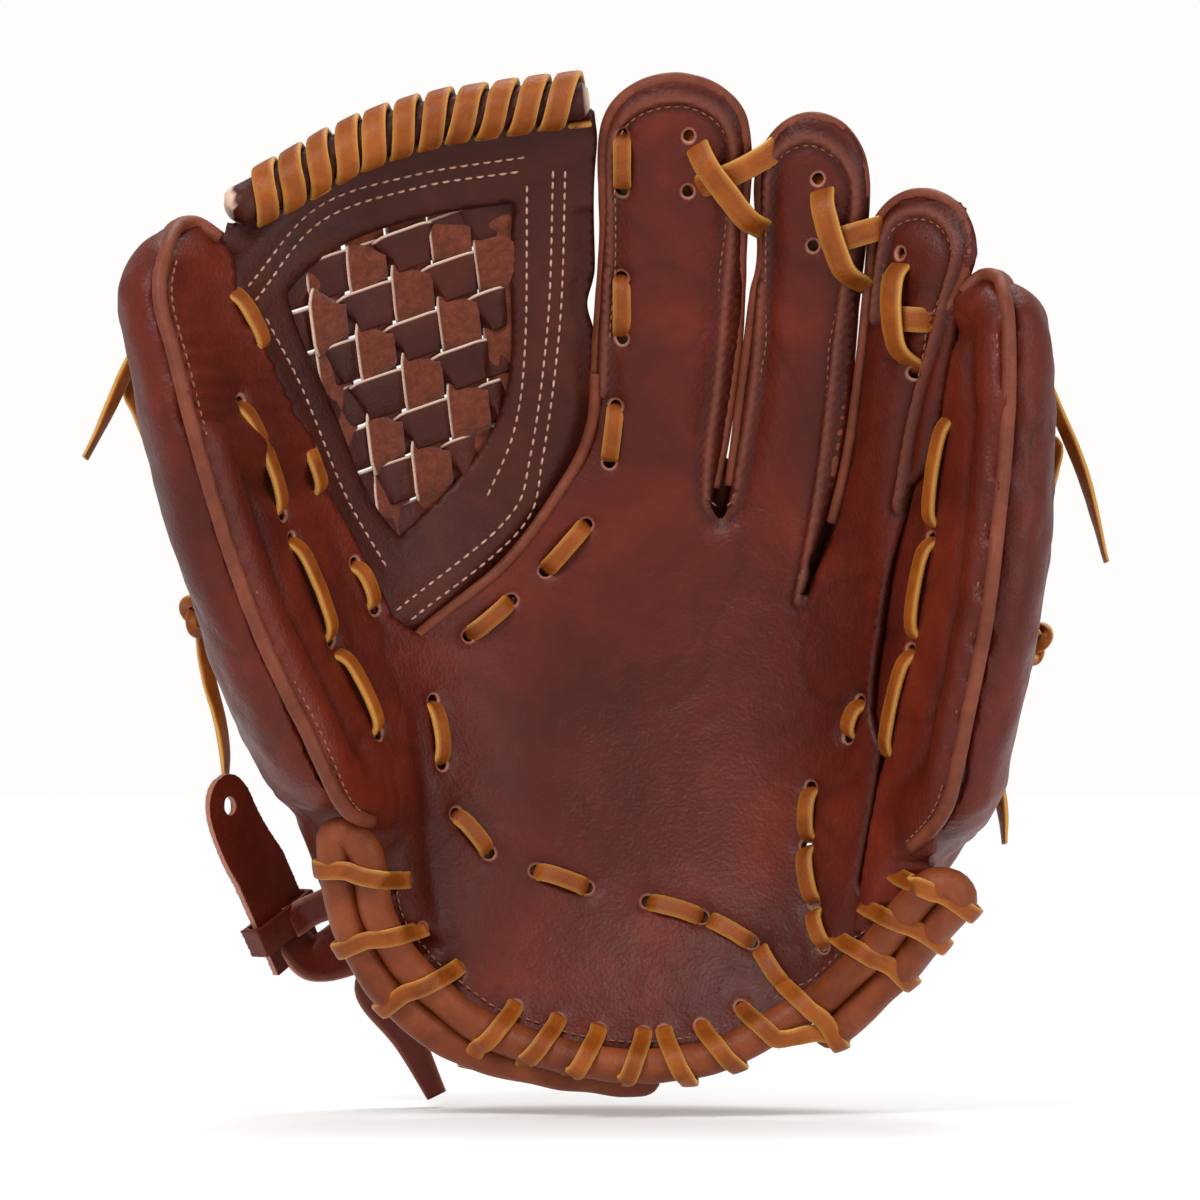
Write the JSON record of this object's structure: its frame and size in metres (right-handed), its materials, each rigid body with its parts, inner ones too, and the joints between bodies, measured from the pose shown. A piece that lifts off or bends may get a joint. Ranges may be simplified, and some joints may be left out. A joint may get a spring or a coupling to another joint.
{
  "type": "baseball glove",
  "caption": "Fielder's glove for the left hand, with a laced basket-weave web, deep pocket, padded palm, finger stalls, rolled heel binding and an adjustable wrist strap.",
  "frame": {"origin": "centre of the hand opening, level with the middle of the wrist strap", "axes": "+Z from the heel to the fingertips, -Y out of the pocket, +X from the thumb to the little finger"},
  "size_m": [0.3, 0.13, 0.2984],
  "materials": {
    "glove_leather": "oiled pull-up leather, dark red-brown",
    "web_leather": "suede and smooth sides of the same leather",
    "welt_leather": "leather seam strip",
    "lace_rawhide": "tan lace leather, waxed",
    "binding_leather": "tan-brown rolled binding",
    "lining_leather": "soft tan lining",
    "felt": "wool felt padding",
    "fleece": "short fleece"
  },
  "bodies": {
    "palm": {"fingertip_lace": "lace_rawhide", "hand_opening_binding": "binding_leather", "heel_binding": "binding_leather", "heel_lace": "lace_rawhide", "index_back": "glove_leather", "index_sleeve": "lining_leather", "index_welt": "welt_leather", "middle_back": "glove_leather", "middle_sleeve": "lining_leather", "middle_welt": "welt_leather", "palm_felt": "felt", "palm_lace": "lace_rawhide", "palm_lining": "lining_leather", "palm_shell": "glove_leather", "ring_back": "glove_leather", "ring_sleeve": "lining_leather", "ring_welt": "welt_leather", "strap_fleece": "fleece", "strap_tail": "glove_leather", "web_frame_back": "web_leather", "web_frame_front": "web_leather", "web_index_lace": "lace_rawhide", "web_straps_across": "web_leather", "web_straps_up": "web_leather", "web_top_lace": "lace_rawhide", "web_top_roll": "web_leather", "wrist_binding": "binding_leather", "wrist_strap": "glove_leather"},
    "thumb": {"thumb_back": "glove_leather", "thumb_front": "glove_leather", "thumb_lace_ends": "lace_rawhide", "thumb_loop": "lining_leather", "thumb_pad_lace": "lace_rawhide", "thumb_sleeve": "lining_leather", "thumb_stiffener": "felt", "thumb_welt": "welt_leather", "heel_pad_thumb": "felt", "heel_binding_thumb": "binding_leather", "heel_lace_thumb": "lace_rawhide", "web_thumb_lace": "lace_rawhide", "strap_keeper": "glove_leather"},
    "little_finger": {"little_back": "glove_leather", "little_front": "glove_leather", "little_lace_ends": "lace_rawhide", "little_loop": "lining_leather", "little_pad_lace": "lace_rawhide", "little_sleeve": "lining_leather", "little_stiffener": "felt", "little_welt": "welt_leather", "heel_pad_little": "felt", "heel_binding_little": "binding_leather", "heel_lace_little": "lace_rawhide"},
    "strap_tongue": {"strap_tongue": "glove_leather"}
  },
  "joints": [
    {"name": "thumb_fold", "type": "hinge", "parent": "palm", "child": "thumb", "pos_m": [-0.0455, -0.044, -0.035], "axis": [-0.1384, 0.0623, 0.9884], "range_deg": [-3, 30], "deforming": ["web_frame_front", "web_frame_back", "web_straps_up", "web_straps_across", "web_top_roll", "web_top_lace", "wrist_binding", "wrist_strap", "strap_fleece"]},
    {"name": "little_finger_fold", "type": "hinge", "parent": "palm", "child": "little_finger", "pos_m": [0.064, -0.0469, -0.015], "axis": [-0.1619, 0.104, -0.9813], "range_deg": [-3, 20], "deforming": ["wrist_binding", "wrist_strap", "strap_fleece"]},
    {"name": "strap_adjust", "type": "slide", "parent": "thumb", "child": "strap_tongue", "axis": [-0.3596, -0.3396, 0.8691], "range_m": [0, 0.015]}
  ]
}
